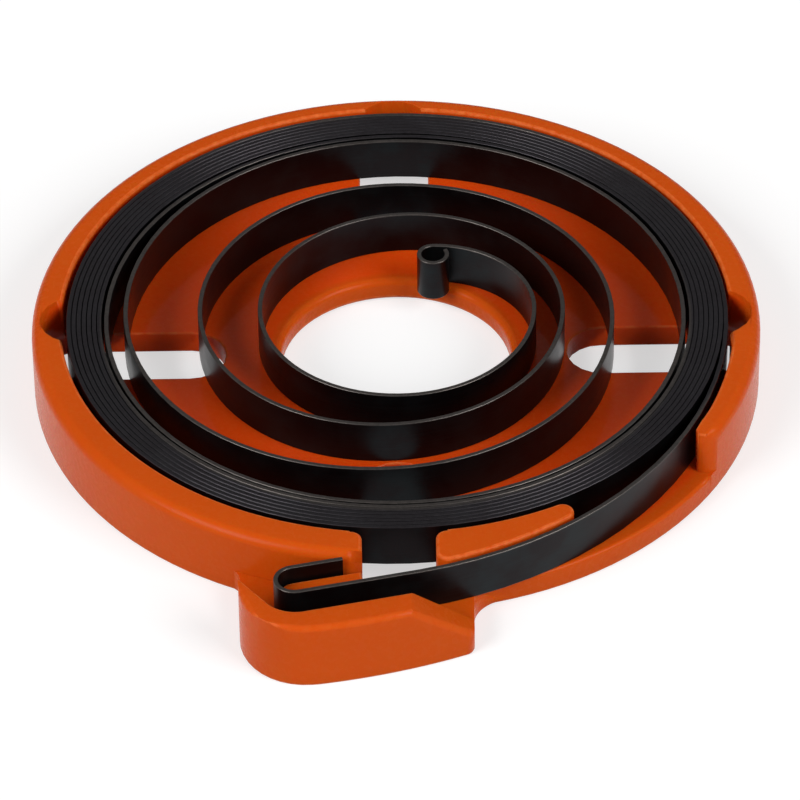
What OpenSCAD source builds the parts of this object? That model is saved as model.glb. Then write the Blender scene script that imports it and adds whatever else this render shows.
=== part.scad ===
// Return spring of a pull starter: one flat strip of spring steel, wound up in a moulded cassette.
// Frame: +Z up, millimetres, origin at the centre of the hub hole on the underside.
// The front, where the hook pocket stands out, is at -Y.

/* [Cassette] */
// Outer radius of the rim
rim_r = 40; // [38:0.5:46]
// Height of the rim above the underside
rim_h = 8; // [7.9:0.1:10]
// Thickness of the rim wall
rim_t = 3.2; // [2.6:0.1:4]
// Distance of the strip's chamber behind the centre of the tray
chamber_y = 0.75; // [0:0.05:0.8]
// Radius of the round along the rim's outer top edge
edge_round = 1.2; // [0.6:0.1:1.6]
// Radius of the round along the edge of the ledge beside the outgoing strip
ledge_round = 0.4; // [0.2:0.1:1]
// Thickness of the floor
floor_t = 2.7; // [2.4:0.1:3.2]
// Radius of the hub hole
hub_r = 12.65; // [11:0.05:14]
// Radius of the round along the top edge of the hub hole
hub_round = 0.8; // [0.4:0.1:1.2]
// Direction, from the centre, at which the rim ends beside the outgoing strip
rim_end_angle = -33; // [-36:0.5:-26]
// Radius of the round on the outer corner of that rim end
rim_end_round = 1.8; // [1:0.1:2]
// Size of the bevel on the inner corner of that rim end
rim_end_bevel = 0.6; // [0.3:0.1:0.8]

/* [Slots] */
// Width of the four radial slots
slot_w = 7.8; // [6:0.1:9]
// Distance from the centre to the inner tip of a slot
slot_in = 18.8; // [17:0.1:21]
// Wall left outside the notch that a slot cuts into the rim
slot_skin = 0.9; // [0.7:0.1:1.4]
// Length of the front slot past the rim, under the outgoing strip
front_slot_reach = 4.6; // [3.5:0.1:5]
// Radius of the rounded corners where the front slot opens the rim
gap_round = 1.2; // [0.6:0.1:1.6]

/* [Strip] */
// Thickness of the steel strip
strip_t = 0.5; // [0.4:0.05:0.55]
// Width of the strip
strip_w = 5.1; // [4:0.1:5.2]
// Gap between packed turns
turn_gap = 0.05; // [0.03:0.01:0.08]
// Gap between the rim and the outermost turn
wall_gap = 0.3; // [0.2:0.05:0.5]
// Number of full turns packed against the rim
packed_turns = 7; // [5:1:8]
// Distance of the innermost free turn from the edge of the hub hole
core_gap = 2.35; // [1.5:0.05:3]
// Inner radius of the rolled eye
eye_r = 1.3; // [1:0.05:1.6]
// Turn of the rolled eye, in degrees
eye_sweep = 300; // [240:5:305]
// Radius of the strip where it runs into the eye
eye_lead_r = 11; // [10:0.1:12]

/* [Hook] */
// Radius of the strip where it leaves the pack
lead_r = 44; // [44:0.5:46]
// Direction of the straight leg, in degrees from +X
leg_angle = 13; // [10:0.5:16]
// Length of the straight long leg
leg_l = 13; // [12:0.1:14]
// Inside width of the hook
hook_gap = 3.4; // [3:0.1:3.8]
// Length of the hook's short leg
hook_l = 5.6; // [4:0.1:6]

/* [Hook pocket] */
// Thickness of the pocket's outer wall
pocket_t = 3.2; // [2:0.1:3.6]
// Gap between the long leg and the pocket's outer wall
pocket_gap = 3.1; // [2:0.1:3.6]
// Gap between the hook's bend and the slanted end of the pocket
pocket_end_gap = 2.4; // [1.5:0.1:3]
// Direction of that slanted end, in degrees from +X
pocket_end_angle = 128.5; // [120:0.5:136]
// Distance of the block's left side from the hook's bend
block_side = 3.65; // [3:0.05:4.5]
// Position of the block's right side
block_right = 7.8; // [7:0.1:9]
// Radius of the block's front left corner
block_round = 7; // [4:0.1:7.5]
// Radius of the block's gently curved front
block_front_r = 70; // [60:1:90]
// Where that front runs parallel to the long leg, along the leg from the hook's bend
block_front_at = 5.8; // [2:0.1:8]
// Radius of the block's front right corner
block_nose_round = 1.2; // [0.6:0.1:2]
// Radius of the hollow corner between the block's left side and the rim
block_left_hollow = 2; // [1:0.1:3]
// Radius of the hollow corner between the block's right side and the ledge
block_right_hollow = 4; // [2:0.1:5]
// Where the outer wall's top starts to ramp down
ramp_x = 1.2; // [-1:0.1:3]
// Height of the post inside the hook above the floor
post_h = 3.3; // [2:0.1:4.5]
// Gap between the post and the hook
post_gap = 0.2; // [0.1:0.05:0.4]

/* [Guide wedge] */
// Position of the tip of the wedge between the pack and the outgoing strip
wedge_tip = 18.6; // [15:0.1:20]
// Radius of the wedge's corners
wedge_round = 1.2; // [0.6:0.1:1.4]
// Gap between the outgoing strip and the faces that guide it
guide_gap = 0.45; // [0.3:0.05:0.7]
// Gap between the outgoing strip and the end of the rim
lead_gap = 0.6; // [0.4:0.05:0.9]

/* [Hidden] */
$fn = 180;

// Overrun of a cut past the face that it cuts
over = 1;
// Steps along a rounded corner, the hook's bend and the arc that runs into the pack
round_steps = 10;
bend_steps = 24;
lead_steps = 56;
// How far a hollow corner bites into the rim that it runs into
hollow_bite = 0.06;

rim_in = rim_r - rim_t;
slot_half = slot_w / 2;

// Centre line of the strip: outermost turn, spacing of the pack, innermost free turn
pack_r = rim_in - wall_gap - strip_t / 2;
pitch = strip_t + turn_gap;
pack_in = pack_r - packed_turns * pitch;
core_r = hub_r + core_gap;

// Radius of each free quarter turn, as a share of the way from the innermost turn out to the pack
quarter_shares = [0.98, 0.99, 0.96, 0.96, 0.94, 0.86, 0.72, 0.63,
                  0.48, 0.40, 0.29, 0.28, 0.10, 0.09, 0.01, 0.00];

// The long leg is tangent to the arc on which the strip leaves the pack
lead_centre = [pack_r - lead_r, chamber_y];
leg_dir = [cos(leg_angle), sin(leg_angle)];
leg_side = [-sin(leg_angle), cos(leg_angle)];
leg_end = lead_centre - lead_r * leg_side;
leg_start = leg_end - leg_l * leg_dir;
hook_r = (hook_gap + strip_t) / 2;
hook_centre = leg_start + hook_r * leg_side;
hook_out = hook_r + strip_t / 2;

// Pocket: lines parallel to the long leg, and the slanted end
pocket_in = hook_out + pocket_gap;
pocket_out = pocket_in + pocket_t;
block_left = hook_centre.x - hook_out - block_side;
end_dir = [cos(pocket_end_angle), sin(pocket_end_angle)];
end_side = [-end_dir.y, end_dir.x];
end_point = hook_centre + (hook_out + pocket_end_gap) * end_side;
front_point = hook_centre - pocket_in * leg_side;
pocket_corner = front_point
    + leg_dir * cross(end_point - front_point, end_dir) / cross(leg_dir, end_dir);
pocket_corner_round = block_round - pocket_t;
front_centre = hook_centre + block_front_at * leg_dir + (block_front_r - pocket_out) * leg_side;

// Height on a line parallel to the long leg, at an offset in front of the hook's centre
function leg_line(x, offset) =
    [x, hook_centre.y + (x - hook_centre.x) * tan(leg_angle) - offset / cos(leg_angle)];

// Point of the block's front at a given x
function front_at(x) =
    [x, front_centre.y - sqrt(pow(block_front_r, 2) - pow(x - front_centre.x, 2))];

// Points of an arc about a centre
function arc(c, r, a0, a1, steps = round_steps) =
    [for (i = [0 : steps]) let (a = a0 + (a1 - a0) * i / steps) c + r * [cos(a), sin(a)]];

function unit(v) = v / norm(v);

// Points that round the corner b between a and c
function round_corner(a, b, c, r) =
    let (
        u = unit(a - b),
        v = unit(c - b),
        half = acos(u * v) / 2,
        centre = b + unit(u + v) * r / sin(half),
        start = b + u * r / tan(half) - centre,
        turn = sign(cross(u, v)) * (180 - 2 * half),
        a0 = atan2(start.y, start.x)
    )
    arc(centre, r, a0, a0 - turn);

// Centre of a hollow corner of radius r between the rim and an upright side at x
function hollow_centre(x, r) =
    [x, -sqrt(pow(rim_r - hollow_bite + abs(r), 2) - x * x)];

// Arcs that follow each other without a kink: [radius, sweep] becomes [centre, radius, start, sweep]
function chain(arcs, at, heading, i = 0) =
    i == len(arcs) ? [] :
    let (
        r = arcs[i][0],
        sweep = arcs[i][1],
        c = at + r * [-sin(heading), cos(heading)],
        next = heading + sweep
    )
    concat([[c, r, heading - 90, sweep]], chain(arcs, c + r * [sin(next), -cos(next)], next, i + 1));

// Radii lie on a 0.01 mm grid, so that the end of each arc is exactly the start of the next
function on_grid(r) = round(r * 100) / 100;

// Inwards from the rim: packed half turns, free quarter turns, the run into the eye, the eye
pack_arcs = [for (k = [0 : 2 * packed_turns - 1]) [on_grid(pack_r - pitch / 4 - k * pitch / 2), 180]];
free_arcs = [for (s = quarter_shares) [on_grid(core_r + (pack_in - core_r) * s), 90]];
eye_arcs = [[eye_lead_r, 90], [eye_r + strip_t / 2, eye_sweep]];
coil = chain(concat(pack_arcs, free_arcs, eye_arcs), [pack_r, chamber_y], 90);

module strip_arc(c, r, start, sweep) {
    translate([c.x, c.y, floor_t])
        rotate([0, 0, start])
            rotate_extrude(angle = sweep)
                translate([r - strip_t / 2, 0])
                    square([strip_t, strip_w]);
}

// One side of the strip's outer end: short leg, bend, long leg, and the arc that runs into the pack
function outer_end_side(shift) =
    concat(
        [hook_centre + (hook_r + shift) * leg_side + hook_l * leg_dir],
        arc(hook_centre, hook_r + shift, leg_angle + 90, leg_angle + 270, bend_steps),
        arc(lead_centre, lead_r + shift, leg_angle - 90, 0, lead_steps)
    );

module outer_end() {
    inner_side = outer_end_side(-strip_t / 2);
    translate([0, 0, floor_t])
        linear_extrude(strip_w)
            polygon(concat(
                outer_end_side(strip_t / 2),
                [for (i = [len(inner_side) - 1 : -1 : 0]) inner_side[i]]
            ));
}

module spiral_spring() {
    color([0.11, 0.11, 0.12])
        union() {
            outer_end();
            for (a = coil)
                strip_arc(a[0], a[1], a[2], a[3]);
        }
}

// Section of a ring with a rounded outer top edge
module ring_section(r_in, height, top_round) {
    polygon(concat(
        [[r_in, 0], [rim_r, 0]],
        arc([rim_r - top_round, height - top_round], top_round, 0, 90),
        [[r_in, height]]
    ));
}

module rim() {
    difference() {
        rotate([0, 0, rim_end_angle])
            rotate_extrude(angle = 270 - rim_end_angle)
                ring_section(rim_in - chamber_y - over, rim_h, edge_round);
        translate([0, chamber_y, floor_t])
            cylinder(r = rim_in, h = rim_h);
        rim_flare();
        rim_end_corners();
    }
}

// The rim opens towards its end, concentric with the outgoing strip
module rim_flare() {
    intersection() {
        translate([lead_centre.x, lead_centre.y, floor_t])
            cylinder(r = lead_r + strip_t / 2 + lead_gap, h = rim_h);
        translate([0, -slot_half - rim_r, 0])
            cube([rim_r, rim_r, 2 * rim_h]);
    }
}

// Rounds the outer corner of the rim's end, and bevels its inner corner
module rim_end_corners() {
    r = rim_end_round;
    b = rim_end_bevel;
    end = [cos(rim_end_angle), sin(rim_end_angle)];
    flare = lead_r + strip_t / 2 + lead_gap;
    inner = end * lead_centre + sqrt(pow(end * lead_centre, 2) + flare * flare - lead_centre * lead_centre);
    rotate([0, 0, rim_end_angle])
        translate([0, 0, floor_t])
            linear_extrude(rim_h) {
                polygon(concat(
                    [[rim_r + over, -over], [rim_r + over, r]],
                    arc([rim_r - r, r], r, 0, -90),
                    [[rim_r - r, -over]]
                ));
                polygon([[inner - over, -over], [inner + b + over, -over], [inner - over, b + over]]);
            }
}

// Slot outline along +X, from its inner tip to its outer tip
module slot_outline(tip_in, tip_out) {
    polygon(concat(
        arc([tip_in + slot_half, 0], slot_half, 90, 270),
        arc([tip_out - slot_half, 0], slot_half, -90, 90)
    ));
}

module slots() {
    for (quarter = [0 : 3])
        rotate([0, 0, quarter * 90])
            translate([0, 0, -over])
                linear_extrude(rim_h + 2 * over)
                    slot_outline(slot_in, quarter == 3 ? rim_r + front_slot_reach : rim_r - slot_skin);
}

// Rounds the corners where the front slot opens the rim towards the pack
module gap_corners() {
    corner_y = chamber_y - sqrt(rim_in * rim_in - slot_half * slot_half);
    for (side = [0, 1])
        mirror([side, 0, 0])
            translate([slot_half, corner_y, floor_t])
                linear_extrude(rim_h)
                    polygon(concat(
                        [[-over, over], [-over, -gap_round]],
                        arc([gap_round, -gap_round], gap_round, 180, 90),
                        [[gap_round, over]]
                    ));
}

module hub_hole() {
    rotate_extrude()
        polygon(concat(
            [[0, -over], [hub_r, -over]],
            arc([hub_r + hub_round, floor_t - hub_round], hub_round, 180, 90),
            [[hub_r + hub_round, rim_h], [0, rim_h]]
        ));
}

// Plan of the hook pocket's block, with hollow corners towards the rim
module block_outline() {
    left_c = hollow_centre(block_left - block_left_hollow, block_left_hollow);
    right_c = hollow_centre(block_right + block_right_hollow, block_right_hollow);
    front_left = block_left + 1.2 * block_round;
    front_right = block_right - 2 * block_nose_round;
    polygon(concat(
        [[0, -rim_in]],
        arc(left_c, block_left_hollow, atan2(-left_c.y, -left_c.x), 0),
        round_corner([block_left, 0], front_at(block_left), front_at(front_left), block_round),
        [for (i = [0 : round_steps]) front_at(front_left + (front_right - front_left) * i / round_steps)],
        round_corner(front_at(front_right), front_at(block_right), [block_right, 0], block_nose_round),
        arc(right_c, block_right_hollow, 180, atan2(-right_c.y, -right_c.x))
    ));
}

// Plan of the pocket: open to the right for the strip, and past its slanted end
module pocket_outline() {
    reach = rim_r;
    front_far = leg_line(block_right + over, pocket_in);
    end_far = pocket_corner + reach * end_dir;
    polygon(concat(
        [[block_right + over, -rim_in], front_far],
        round_corner(front_far, pocket_corner, end_far, pocket_corner_round),
        [end_far]
    ));
}

module pocket_wall() {
    ramp_fall = atan((rim_h - floor_t) / (block_right - ramp_x));
    difference() {
        linear_extrude(rim_h)
            block_outline();
        translate([0, 0, floor_t])
            linear_extrude(rim_h)
                pocket_outline();
        translate([ramp_x, -2 * rim_r, rim_h])
            rotate([0, ramp_fall, 0])
                cube([rim_r, 2 * rim_r, rim_h]);
    }
}

// Post that the hook holds on to
module hook_post() {
    half = hook_gap / 2 - post_gap;
    post_l = -hook_centre.x;
    linear_extrude(floor_t + post_h)
        translate(hook_centre)
            rotate(leg_angle)
                polygon(concat(arc([0, 0], half, 90, 270), [[post_l, -half], [post_l, half]]));
}

// Wedge that parts the outgoing strip from the pack
module guide_wedge() {
    linear_extrude(rim_h)
        offset(r = wedge_round)
            offset(delta = -wedge_round)
                difference() {
                    intersection() {
                        translate(lead_centre)
                            circle(r = lead_r - strip_t / 2 - guide_gap);
                        translate([slot_half, -2 * rim_r])
                            square([wedge_tip - slot_half, 2 * rim_r]);
                    }
                    translate([0, chamber_y])
                        circle(r = rim_in);
                }
}

module spring_cassette() {
    color([0.80, 0.30, 0.07])
        difference() {
            union() {
                rotate_extrude()
                    ring_section(0, floor_t, ledge_round);
                rim();
                pocket_wall();
                hook_post();
                guide_wedge();
            }
            hub_hole();
            slots();
            gap_corners();
        }
}

spring_cassette();
spiral_spring();
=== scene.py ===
# %% [markdown]
# # A return spring in its cassette
# The real object is two pieces: an orange moulded tray and one long strip of
# dark spring steel, hooked at its outer end, wound flat into the tray and
# rolled into a small eye at its inner end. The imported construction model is
# the frame that everything here is built round, in metres.

# %% Load the frame
import math

import bmesh
import bpy
from mathutils import Matrix, Vector


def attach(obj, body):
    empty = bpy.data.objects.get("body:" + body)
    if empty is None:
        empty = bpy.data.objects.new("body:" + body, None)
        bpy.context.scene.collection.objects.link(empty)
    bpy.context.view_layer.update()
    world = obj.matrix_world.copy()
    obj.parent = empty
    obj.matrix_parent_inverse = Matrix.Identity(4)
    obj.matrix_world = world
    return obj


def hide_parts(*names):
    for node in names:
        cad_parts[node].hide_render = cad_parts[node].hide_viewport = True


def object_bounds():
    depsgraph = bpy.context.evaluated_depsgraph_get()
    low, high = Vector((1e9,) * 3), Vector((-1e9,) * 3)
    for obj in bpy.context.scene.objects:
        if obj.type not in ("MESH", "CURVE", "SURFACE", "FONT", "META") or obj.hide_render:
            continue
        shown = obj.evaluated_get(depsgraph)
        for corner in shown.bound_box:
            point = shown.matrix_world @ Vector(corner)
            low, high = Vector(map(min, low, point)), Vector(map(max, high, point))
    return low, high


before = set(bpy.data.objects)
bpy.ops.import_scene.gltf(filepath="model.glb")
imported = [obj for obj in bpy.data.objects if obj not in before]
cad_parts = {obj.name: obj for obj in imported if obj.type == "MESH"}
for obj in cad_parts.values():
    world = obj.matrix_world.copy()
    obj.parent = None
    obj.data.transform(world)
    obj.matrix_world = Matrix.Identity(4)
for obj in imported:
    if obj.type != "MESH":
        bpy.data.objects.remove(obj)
cad_low, cad_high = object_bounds()
MM = 0.001
print("nodes:", sorted(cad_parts))
print("size in mm:", [round(v / MM, 2) for v in cad_high - cad_low])

# %% [markdown]
# ## The camera
# The photograph looks down at about forty degrees with a long lens, so the
# ellipses of the rim are nearly those of a parallel view. The place of the
# camera was found from the rim, the hub hole and the slots. A small shift
# puts the spring a little above the middle of the frame, as it is there.

# %% Camera
VIEW_HEIGHT = math.radians(39.53)
VIEW_DISTANCE = 652 * MM
VIEW_ROLL = math.radians(-0.78)
SENSOR_MM = 36
FOCAL_MM = 265.2
SHIFT_X = 0.0043
SHIFT_Y = -0.03585

lens = bpy.data.cameras.new("long_lens")
lens.sensor_width = SENSOR_MM
lens.lens = FOCAL_MM
lens.shift_x = SHIFT_X
lens.shift_y = SHIFT_Y
lens.clip_start = 0.01
lens.clip_end = 20
camera = bpy.data.objects.new("camera", lens)
bpy.context.scene.collection.objects.link(camera)
tilt = Matrix.Rotation(math.pi / 2 - VIEW_HEIGHT, 4, "X")
roll = Matrix.Rotation(VIEW_ROLL, 4, "Z")
stand = Matrix.Translation(
    (0, -VIEW_DISTANCE * math.cos(VIEW_HEIGHT), VIEW_DISTANCE * math.sin(VIEW_HEIGHT))
)
camera.matrix_world = stand @ tilt @ roll
bpy.context.scene.camera = camera
print("camera at", [round(v, 3) for v in camera.location])

# %% [markdown]
# ## The tray
# The tray is an injection moulding, and its shape is already right in the
# construction model. What a mould leaves and a drawing does not is the small
# radius on every outer edge. A copy of the model's mesh is loose triangles, so
# its corners are merged first and flat neighbours are joined into whole faces.
# Only the floor stays in triangles, because a face can't have holes in it. One
# bevel over everything would fight at the corners where edges of different
# kinds meet, so the edges are rounded in groups, chosen by where they lie.

# %% Helpers for pieces
def piece_from(bm, name):
    """Turns a finished bmesh into an object at the origin that rides on the part."""
    mesh = bpy.data.meshes.new(name)
    bm.to_mesh(mesh)
    bm.free()
    thing = bpy.data.objects.new(name, mesh)
    bpy.context.scene.collection.objects.link(thing)
    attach(thing, "root")
    print(name, "has", len(mesh.vertices), "points and", len(mesh.polygons), "faces")
    return thing


def soften(thing, angle):
    """Smooth shading that keeps edges sharper than the angle, weighted to the flats."""
    thing.data.shade_smooth()
    thing.data.set_sharp_from_angle(angle=angle)
    weighted = thing.modifiers.new("flat_faces_first", "WEIGHTED_NORMAL")
    weighted.keep_sharp = True


# %% Tray copy
SAME_POINT = 0.002 * MM
NOTCH_TOOTH = Vector((36.68, -3.75))
TOOTH_REACH = 0.5
TOOTH_FOOT = 2.6
TOOTH_MERGE = 0.6 * MM

bm = bmesh.new()
bm.from_mesh(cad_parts["spring_cassette"].data)
# Faces that the bevels make get a paler edge colour, partly rubbed wear and partly painted
# highlight.
edge_layer = bm.faces.layers.float.new("worn_and_highlight_edge")
bmesh.ops.remove_doubles(bm, verts=bm.verts, dist=SAME_POINT)
tooth = [
    v for v in bm.verts
    if (v.co.xy / MM - NOTCH_TOOTH).length < TOOTH_REACH and v.co.z / MM > TOOTH_FOOT
]
bmesh.ops.remove_doubles(bm, verts=tooth, dist=TOOTH_MERGE)
print("points merged into the notch's corner:", len(tooth))

# %% Whole faces
FLOOR_TOP = 2.7
LEVEL_SLACK = 0.02
FLAT = math.radians(0.5)


def heights(edge):
    """The lowest and the highest point of an edge, in mm."""
    return sorted(v.co.z / MM for v in edge.verts)


def level(low, high, target):
    return abs(low - target) < LEVEL_SLACK and abs(high - target) < LEVEL_SLACK


def on_floor(edge):
    return level(*heights(edge), FLOOR_TOP)


bmesh.ops.dissolve_limit(
    bm,
    angle_limit=FLAT,
    verts=[],
    edges=[e for e in bm.edges if not on_floor(e)],
)
print("tray:", len(bm.faces), "faces,", sum(not e.is_manifold for e in bm.edges), "open edges")

# %% Places on the tray
HUB_REACH = 13
CHAMBER_REACH = 36
CHAMBER_FRONT = -26
LEG_ANGLE = math.radians(13)
LEG_SIDE = Vector((-math.sin(LEG_ANGLE), math.cos(LEG_ANGLE)))
HOOK_AT = Vector((-10.957, -43.146))
BLOCK_BACK = -42
BLOCK_LEFT = -15.5
BLOCK_WALL = -6.9
SHOULDER_X = -16.6
SHOULDER_Y = -44.8
RIM_END = Vector((32.6, -20.9))
RIM_END_REACH = 3
NOTCH_HALF = 4
SIDE_NOTCH = 36.95
BACK_NOTCH = 37.6


def in_hub(m):
    return m.xy.length < HUB_REACH


def in_chamber(m):
    return m.xy.length < CHAMBER_REACH and m.y > CHAMBER_FRONT


def on_block(m):
    on_shoulder = m.x < SHOULDER_X and m.y > SHOULDER_Y
    return m.y < BLOCK_BACK and not on_shoulder


def block_outside(m):
    return (m.xy - HOOK_AT).dot(LEG_SIDE) < BLOCK_WALL or m.x < BLOCK_LEFT


def at_rim_end(m):
    return (m.xy - RIM_END).length < RIM_END_REACH


def in_notch(m):
    at_side = abs(m.y) < NOTCH_HALF and abs(m.x) > SIDE_NOTCH
    at_back = abs(m.x) < NOTCH_HALF and m.y > BACK_NOTCH
    return at_side or at_back


print("hook at", [round(v, 2) for v in HOOK_AT], "and rim end at", [round(v, 2) for v in RIM_END])

# %% Rounding one group of edges
SHARP = math.radians(40)


def round_over(name, radius, steps, chosen, even=False, wear_and_highlight=1.0):
    """Rounds the outer edges that the test picks from middle, lowest and highest point in mm."""
    edges = []
    for edge in bm.edges:
        if edge.is_manifold and edge.calc_face_angle_signed() > SHARP:
            low, high = heights(edge)
            middle = (edge.verts[0].co + edge.verts[1].co) / (2 * MM)
            if chosen(middle, low, high):
                edges.append(edge)
    made = bmesh.ops.bevel(
        bm,
        geom=edges,
        offset=radius * MM,
        offset_type="OFFSET",
        affect="EDGES",
        segments=steps,
        profile=0.5,
        material=-1,
        clamp_overlap=False,
        loop_slide=not even,
    )
    # The new faces are marked with this share of the paler edge colour, partly wear and partly
    # painted highlight.
    for face in made["faces"]:
        face[edge_layer] = wear_and_highlight
    print("rounded", name, "with", radius, "mm:", len(edges), "edges")


print("edges over", round(math.degrees(SHARP)), "degrees count as sharp")

# %% Rounding the tray's edges
POST_TOP = 6.0
RIM_TOP = 8.0
OVER_FLOOR = FLOOR_TOP + 0.05
UNDER_RIM_TOP = RIM_TOP - 0.1
RIM_END_FOOT = 2.5


def on_rim(m):
    return m.y > BLOCK_BACK and not in_notch(m) and not at_rim_end(m)


round_over("hub foot", 0.7, 4, lambda m, a, b: level(a, b, 0) and in_hub(m), even=True)
round_over("underside", 0.25, 2, lambda m, a, b: level(a, b, 0) and not in_hub(m), even=True)
round_over("slots", 0.2, 2, lambda m, a, b: level(a, b, FLOOR_TOP) and in_chamber(m), even=True)
round_over("post", 0.3, 3, lambda m, a, b: level(a, b, POST_TOP), even=True)
round_over(
    "block", 0.6, 4,
    lambda m, a, b: a > OVER_FLOOR and on_block(m) and block_outside(m),
    wear_and_highlight=0.2,
)
round_over("pocket", 0.2, 2, lambda m, a, b: a > OVER_FLOOR and on_block(m))
round_over(
    "rim end", 0.2, 2,
    lambda m, a, b: a > RIM_END_FOOT and b > UNDER_RIM_TOP and at_rim_end(m),
)
round_over("rim", 0.35, 3, lambda m, a, b: a > UNDER_RIM_TOP and on_rim(m))

# %% [markdown]
# Smooth shading would let the slopes beside the floor tint it, so the edges
# round the floor are kept crisp even where the slope is gentle.

# %% Tray piece
FLOOR_CREASE = math.radians(4)

tray = piece_from(bm, "tray")
soften(tray, SHARP)
bm = bmesh.new()
bm.from_mesh(tray.data)
creased = [e for e in bm.edges if on_floor(e) and e.calc_face_angle(0) > FLOOR_CREASE]
for edge in creased:
    edge.smooth = False
bm.to_mesh(tray.data)
bm.free()
print("crisp edges round the floor:", len(creased))
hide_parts("spring_cassette")

# %% [markdown]
# ## The spring strip
# The spring is one strip, half a millimetre thick and five wide. A profile of
# four corners, slightly rounded as rolled strip is, is swept along the way the
# strip runs: a short leg, the hook, a long leg, the long bend into the pack,
# seven tight turns, four loose ones and the rolled eye. Each stretch is an arc
# or a straight, so a chain of spins and extrusions makes all of it.

# %% Strip profile
STRIP_T = 0.5 * MM
STRIP_LOW = 2.7 * MM
STRIP_HIGH = 7.8 * MM
CORNER = 0.1 * MM
SHORT_LEG = 5.6 * MM
HOOK_R = 1.95 * MM
HOOK_CENTRE = HOOK_AT.to_3d() * MM

leg_dir = Vector((math.cos(LEG_ANGLE), math.sin(LEG_ANGLE), 0))
leg_side = LEG_SIDE.to_3d()
tip = HOOK_CENTRE + leg_side * HOOK_R + leg_dir * SHORT_LEG

bm = bmesh.new()
across = leg_side * STRIP_T / 2
corners = [
    bm.verts.new(tip + side + Vector((0, 0, height)))
    for side, height in (
        (-across, STRIP_LOW),
        (across, STRIP_LOW),
        (across, STRIP_HIGH),
        (-across, STRIP_HIGH),
    )
]
bm.faces.new(corners)
bmesh.ops.bevel(
    bm,
    geom=corners,
    offset=CORNER,
    offset_type="OFFSET",
    affect="VERTICES",
    segments=2,
    profile=0.5,
    material=-1,
)
print("strip profile:", len(bm.verts), "points")

# %% A strip that grows
ARC_STEP = math.radians(4)
EYE_STEP = math.radians(12)
UP = Vector((0, 0, 1))


class Strip:
    """The end of the strip as it grows: its open face, its place and its heading."""

    def __init__(self, bm, place, heading):
        self.bm = bm
        self.end = list(bm.verts) + list(bm.edges) + list(bm.faces)
        self.place = place.copy()
        self.heading = heading

    def forward(self):
        return Vector((math.cos(self.heading), math.sin(self.heading), 0))

    def straight(self, length):
        made = bmesh.ops.extrude_face_region(
            self.bm, geom=[f for f in self.end if isinstance(f, bmesh.types.BMFace)]
        )
        self.end = made["geom"]
        points = [v for v in self.end if isinstance(v, bmesh.types.BMVert)]
        move = self.forward() * length
        bmesh.ops.translate(self.bm, verts=points, vec=move)
        self.place += move

    def bend(self, radius, degrees, step=ARC_STEP):
        angle = math.radians(degrees)
        centre = self.place + UP.cross(self.forward()) * radius
        made = bmesh.ops.spin(
            self.bm,
            geom=self.end,
            cent=centre,
            axis=UP,
            angle=angle,
            steps=max(2, round(angle / step)),
            use_merge=False,
            use_duplicate=False,
        )
        self.end = made["geom_last"]
        self.place = centre + Matrix.Rotation(angle, 3, "Z") @ (self.place - centre)
        self.heading += angle
        return centre


print("faces in a full turn of strip:", round(2 * math.pi / ARC_STEP), "lengthwise")

# %% Hook and lead-in
LONG_LEG = 13 * MM
LEAD_IN_R = 44 * MM
LEAD_IN_TURN = 77

strip = Strip(bm, tip, LEG_ANGLE + math.pi)
strip.straight(SHORT_LEG)
strip.bend(HOOK_R, 180, EYE_STEP)
strip.straight(LONG_LEG)
strip.bend(LEAD_IN_R, LEAD_IN_TURN)
print("pack starts at", [round(v / MM, 3) for v in strip.place])

# %% Wind the coil
PACKED_TURNS = 7
PACK_FIRST = 36.1125
PACK_STEP = 0.275
LOOSE_RADII = (
    32.05, 32.23, 31.70, 31.70, 31.36, 29.96, 27.53, 25.96,
    23.35, 21.96, 20.05, 19.87, 16.74, 16.57, 15.17, 15.00,
)
EYE_LEAD_R = 11 * MM
EYE_R = 1.55 * MM
EYE_TURN = 300

for half in range(2 * PACKED_TURNS):
    strip.bend(round(PACK_FIRST - PACK_STEP * half, 2) * MM, 180)
for radius in LOOSE_RADII:
    strip.bend(radius * MM, 90)
strip.bend(EYE_LEAD_R, 90)
eye_centre = strip.bend(EYE_R, EYE_TURN, EYE_STEP)
print("eye centre:", [round(v / MM, 2) for v in eye_centre])

# %% Coil piece
STRIP_MERGE = 0.001 * MM
STRIP_SHARP = math.radians(60)

bmesh.ops.remove_doubles(bm, verts=bm.verts, dist=STRIP_MERGE)
bmesh.ops.recalc_face_normals(bm, faces=bm.faces)
print("open edges:", sum(1 for e in bm.edges if not e.is_manifold))
coil = piece_from(bm, "coil_strip")
soften(coil, STRIP_SHARP)
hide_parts("spiral_spring")

# %% [markdown]
# ## Writing shaders as sums
# A shader tree is easier to read as a sum than as a list of links. This small
# class holds one socket. Adding, taking away, multiplying or dividing it makes
# a Math node, and every other kind of node comes from its one method. A mask
# is a value that goes from 0 to 1 over a soft step beside a limit.

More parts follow.
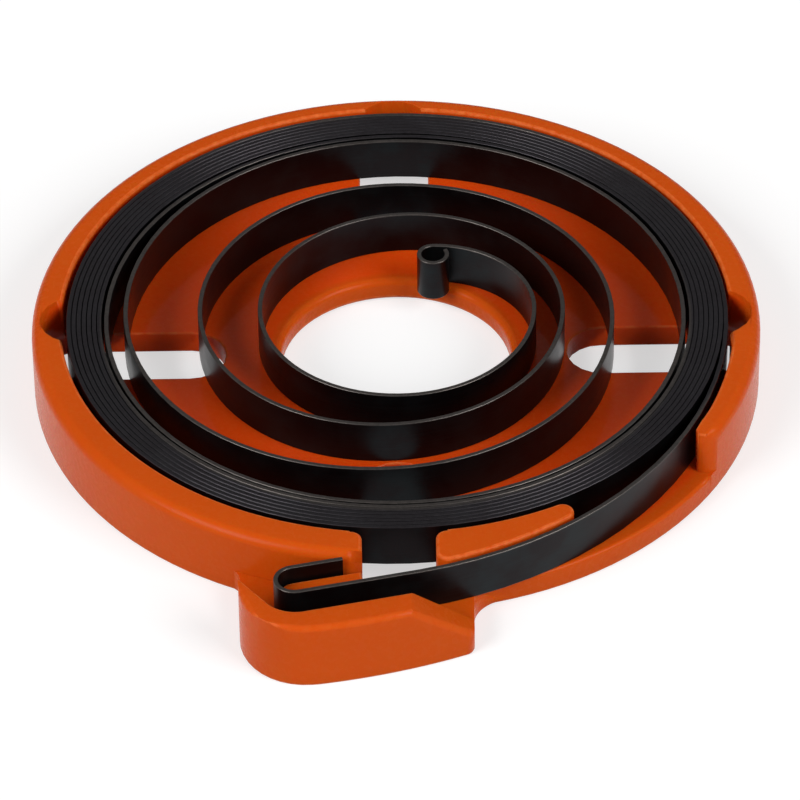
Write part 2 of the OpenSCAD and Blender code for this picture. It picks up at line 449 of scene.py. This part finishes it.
# %% Socket sums
class Wire:
    """One socket of a shader tree."""

    def __init__(self, tree, socket=None):
        self.tree = tree
        self.socket = socket

    def node(self, kind, settings=None, sockets=None, out=0):
        made = self.tree.nodes.new(kind)
        for name, value in (settings or {}).items():
            setattr(made, name, value)
        for name, value in (sockets or {}).items():
            if isinstance(value, Wire):
                self.tree.links.new(value.socket, made.inputs[name])
            else:
                made.inputs[name].default_value = value
        return Wire(self.tree, made.outputs[out])

    def sum(self, operation, first, second, clamp=False):
        return self.node(
            "ShaderNodeMath",
            {"operation": operation, "use_clamp": clamp},
            {0: first, 1: second},
        )

    def __add__(self, other):
        return self.sum("ADD", self, other)

    __radd__ = __add__

    def __sub__(self, other):
        return self.sum("SUBTRACT", self, other)

    def __rsub__(self, other):
        return self.sum("SUBTRACT", other, self)

    def __mul__(self, other):
        return self.sum("MULTIPLY", self, other)

    __rmul__ = __mul__

    def __truediv__(self, other):
        return self.sum("DIVIDE", self, other)

    def __rtruediv__(self, other):
        return self.sum("DIVIDE", other, self)

    def held(self):
        """The same value kept between 0 and 1."""
        return self.sum("ADD", self, 0.0, clamp=True)

    def above(self, limit, step):
        """A mask that is 0 up to the limit and 1 from a step past it."""
        return ((self - limit) / step).held()

    def below(self, limit, step):
        """A mask that is 1 up to a step before the limit and 0 from it."""
        return ((limit - self) / step).held()

    def colour(self, first, second):
        """A colour that goes from the first to the second as this value goes 0 to 1."""
        return self.node(
            "ShaderNodeMix", {"data_type": "RGBA"}, {0: self, 6: first, 7: second}, out=2
        )

    def noise(self, scale, detail=3.0, stretch=(1, 1, 1)):
        """Noise over the piece's own coordinates, so many waves to the metre."""
        place = self.node("ShaderNodeTexCoord", out="Object")
        turned = self.node("ShaderNodeMapping", {}, {"Vector": place, "Scale": stretch})
        return self.node(
            "ShaderNodeTexNoise",
            {},
            {"Vector": turned, "Scale": scale, "Detail": detail, "Roughness": 0.55},
        )


print("shader sums ready")

# %% Helpers for finishes
def new_finish(name):
    """A new material, its tree, and its main shader."""
    material = bpy.data.materials.new(name)
    material.use_nodes = True
    tree = material.node_tree
    shader = tree.nodes["Principled BSDF"]
    return material, Wire(tree), shader


def feed(wires, shader, **inputs):
    for name, value in inputs.items():
        socket = shader.inputs[name.replace("_", " ")]
        if isinstance(value, Wire):
            wires.tree.links.new(value.socket, socket)
        else:
            socket.default_value = value


def from_hub(wires):
    """How far a point is from the hub's axis, and how high it is."""
    place = wires.node("ShaderNodeTexCoord", out="Object")
    flat = wires.node("ShaderNodeVectorMath", {"operation": "MULTIPLY"}, {0: place, 1: (1, 1, 0)})
    reach = wires.node("ShaderNodeVectorMath", {"operation": "LENGTH"}, {0: flat}, out="Value")
    height = wires.node("ShaderNodeSeparateXYZ", {}, {"Vector": place}, out="Z")
    return reach, height


def put_on(thing, material):
    thing.data.materials.clear()
    thing.data.materials.append(material)
    print(material.name, "on", thing.name)


print("finish helpers ready")

# %% [markdown]
# ## Orange moulded plastic
# The tray is a glossy nylon-like moulding. Its colour is even, with faint flow
# marks from the mould, a very fine surface grain, and edges a little paler,
# partly from rubbing and partly as painted highlight. Noise on the piece's own
# coordinates gives all three. Inside the tray the colour is painted deeper and
# redder as painted shade, by a mask by radius and height, and the floor itself,
# which the mould polished, gets a thin coat. A little light also spreads under
# the surface, which softens the shade on the thick edges. Each mask's limit
# stands with the width of its soft step, in metres.

# %% Tones and masks of the plastic
ORANGE = (0.590, 0.084, 0.0050, 1)
ORANGE_DEEP = (0.550, 0.068, 0.0030, 1)
# Paler edge colour, partly rubbed wear and partly painted highlight.
ORANGE_RUBBED_HIGHLIGHT = (0.740, 0.165, 0.040, 1)
# Painted shade: the inside of the tray turns deeper and redder.
CHAMBER_SHADE_RED = (0.740, 0.060, 0.0030, 1)
CHAMBER_WALL = (0.0388, 0.0008)
HUB_EDGE = (0.0132, 0.0010)
CHAMBER_TOP = (0.0078, 0.0006)
POLISH_TOP = (0.0031, 0.0003)
POLISH_LOW = (0.0024, 0.0002)

plastic, w, shader = new_finish("orange_plastic")
reach, height = from_hub(w)
ring = reach.below(*CHAMBER_WALL) * reach.above(*HUB_EDGE)
inside = ring * height.below(*CHAMBER_TOP)
on_top = height.below(*POLISH_TOP) * height.above(*POLISH_LOW)
print("chamber tone from radius", HUB_EDGE[0] / MM, "to", CHAMBER_WALL[0] / MM, "mm")

# %% Orange plastic
FLOW_WAVES = 90
GRAIN_WAVES = 5200
SCUFF_WAVES = 1400
CHAMBER_SHADE_SHARE = 0.9
RUBBED_HIGHLIGHT_SHARE = 0.75
COAT_SHARE = 0.3

flow = w.noise(FLOW_WAVES, 2.0, (1, 1, 0.4))
grain = w.noise(GRAIN_WAVES, 2.0)
scuff = w.noise(SCUFF_WAVES, 4.0)
# The marked edges turn paler: partly rubbed wear, partly painted highlight.
edge = w.node("ShaderNodeAttribute", {"attribute_name": "worn_and_highlight_edge"}, out="Fac")
rub_and_highlight = (edge * (scuff * 2.4 - 0.7)).held()
# The inside of the tray gets the deeper, redder painted shade.
base = (inside * CHAMBER_SHADE_SHARE).colour(flow.colour(ORANGE_DEEP, ORANGE), CHAMBER_SHADE_RED)
colour = (rub_and_highlight * RUBBED_HIGHLIGHT_SHARE).colour(base, ORANGE_RUBBED_HIGHLIGHT)
gloss = (0.20 + scuff * 0.14 + rub_and_highlight * 0.15).held()
coat = inside * on_top * COAT_SHARE
bump = w.node(
    "ShaderNodeBump",
    {},
    {"Strength": 0.09, "Distance": 0.00006, "Height": grain + scuff * 0.6},
)
feed(w, shader, Base_Color=colour, Roughness=gloss, Normal=bump, Coat_Weight=coat)
feed(w, shader, Metallic=0.0, Specular_IOR_Level=0.07, Coat_Roughness=0.08)
feed(w, shader, Subsurface_Weight=0.3, Subsurface_Scale=0.003)
feed(w, shader, Subsurface_Radius=(1.0, 0.12, 0.04))
put_on(tray, plastic)

# %% [markdown]
# ## Black spring steel
# The strip is hardened and blued to nearly black, in soft patches of a warmer
# and a cooler tone, as the heat and the oil left it. Rolling leaves fine lines
# along its length, which on an upright strip are lines of equal height, so the
# noise is stretched along X and Y and fine in Z. The upper slit edge is a
# little greyer than the rolled faces, partly as the edge's own grey and partly
# as painted highlight, and paler still on the free turns, as more painted
# highlight where nothing stands beside it. The radius tells the pack from the
# free turns.

# %% Spring steel
STEEL = (0.0135, 0.0110, 0.0120, 1)
STEEL_BLUE = (0.0155, 0.0188, 0.0205, 1)
# Slit edge tones: partly the edge's own grey, partly painted highlight; the free turns get more
# painted highlight.
SLIT_GREY = (0.066, 0.059, 0.066, 1)
SLIT_FREE_HIGHLIGHT = (0.150, 0.132, 0.122, 1)
SLIT_EDGE = (0.00765, 0.00012)
PACK_IN = (0.0322, 0.0004)
PACK_OUT = (0.0367, 0.0003)
PATCH_STEP = (0.41, 0.18)
LINE_WAVES = (40, 40, 6500)
PATCH_WAVES = 240
SPECK_WAVES = 2600

steel, w, shader = new_finish("black_spring_steel")
reach, height = from_hub(w)
lines = w.noise(1.0, 3.0, LINE_WAVES)
cloud = w.noise(PATCH_WAVES, 3.0)
speck = w.noise(SPECK_WAVES, 3.0)
slit = height.above(*SLIT_EDGE)
packed = reach.above(*PACK_IN) * reach.below(*PACK_OUT)
patch = (cloud * 0.8 + lines * 0.2).above(*PATCH_STEP)
# Painted highlight on the slit edges, stronger on the free turns.
faces = patch.colour(STEEL, STEEL_BLUE)
slit_grey_and_highlight = packed.colour(SLIT_FREE_HIGHLIGHT, SLIT_GREY)
colour = (slit * (0.35 + speck * 0.8)).held().colour(faces, slit_grey_and_highlight)
gloss = (0.24 + lines * 0.12 + patch * 0.08).held()
bump = w.node(
    "ShaderNodeBump",
    {},
    {"Strength": 0.12, "Distance": 0.00004, "Height": lines + speck * 0.4},
)
feed(w, shader, Base_Color=colour, Roughness=gloss, Normal=bump, Metallic=0.9)
put_on(coil, steel)

# %% [markdown]
# ## Floor, light and background
# A pale disc of floor stands for the paper under the object. Open paper is
# white to the camera and in reflections, and keeps the shade under the part.
# Two large soft boxes stand to the left and right of the camera, a little
# lower than it, which lights the front walls as brightly as the tops.

# %% Floor
PAPER_R = 1.5
PAPER_SIDES = 96
PAPER_DROP = 0.00005

bm = bmesh.new()
floor_z = cad_low.z - PAPER_DROP
bmesh.ops.create_circle(bm, cap_ends=True, segments=PAPER_SIDES, radius=PAPER_R)
bmesh.ops.translate(bm, verts=bm.verts, vec=(0, 0, floor_z))
floor_mesh = bpy.data.meshes.new("paper")
bm.to_mesh(floor_mesh)
bm.free()
floor = bpy.data.objects.new("paper", floor_mesh)
bpy.context.scene.collection.objects.link(floor)
print("paper floor at", round(floor_z / MM, 2), "mm")

# %% Paper
WHITE = (1, 1, 1, 1)
PAPER_GREY = (0.5, 0.5, 0.5, 1)
PAPER_GLOW = 0.57

paper, w, shader = new_finish("pale_paper")
to_camera = w.node("ShaderNodeLightPath", out="Is Camera Ray")
glossy = w.node("ShaderNodeLightPath", out="Is Glossy Ray")
through = w.node("ShaderNodeLightPath", out="Is Transmission Ray")
seen = (to_camera + glossy + through).held()
glow = w.node("ShaderNodeEmission", {}, {"Color": WHITE, "Strength": seen * PAPER_GLOW})
matt = w.node("ShaderNodeBsdfDiffuse", {}, {"Color": PAPER_GREY})
both = w.node("ShaderNodeAddShader", {}, {0: matt, 1: glow})
out = w.tree.nodes["Material Output"]
w.tree.links.new(both.socket, out.inputs["Surface"])
w.tree.nodes.remove(shader)
put_on(floor, paper)

# %% World and lamps
AMBIENT = 0.22
BOXES = {"right_box": -35, "left_box": -145}
BOX_HEIGHT = math.radians(34)
BOX_DISTANCE = 1.8
BOX_SIZE = 1.0
BOX_POWER = 23

world = bpy.data.worlds.new("studio")
world.use_nodes = True
bpy.context.scene.world = world
sky = world.node_tree.nodes["Background"]
sky.inputs["Color"].default_value = WHITE
sky.inputs["Strength"].default_value = AMBIENT


def soft_box(name, turn):
    """A square soft box that looks at the middle of the part."""
    lamp = bpy.data.lights.new(name, "AREA")
    lamp.shape = "SQUARE"
    lamp.size = BOX_SIZE
    lamp.energy = BOX_POWER
    thing = bpy.data.objects.new(name, lamp)
    across = math.cos(BOX_HEIGHT)
    towards = Vector((math.cos(turn) * across, math.sin(turn) * across, math.sin(BOX_HEIGHT)))
    thing.location = towards * BOX_DISTANCE
    thing.rotation_mode = "QUATERNION"
    thing.rotation_quaternion = (-towards).to_track_quat("-Z", "Y")
    bpy.context.scene.collection.objects.link(thing)


for name, degrees in BOXES.items():
    soft_box(name, math.radians(degrees))
scene = bpy.context.scene
scene.view_settings.view_transform = "Standard"
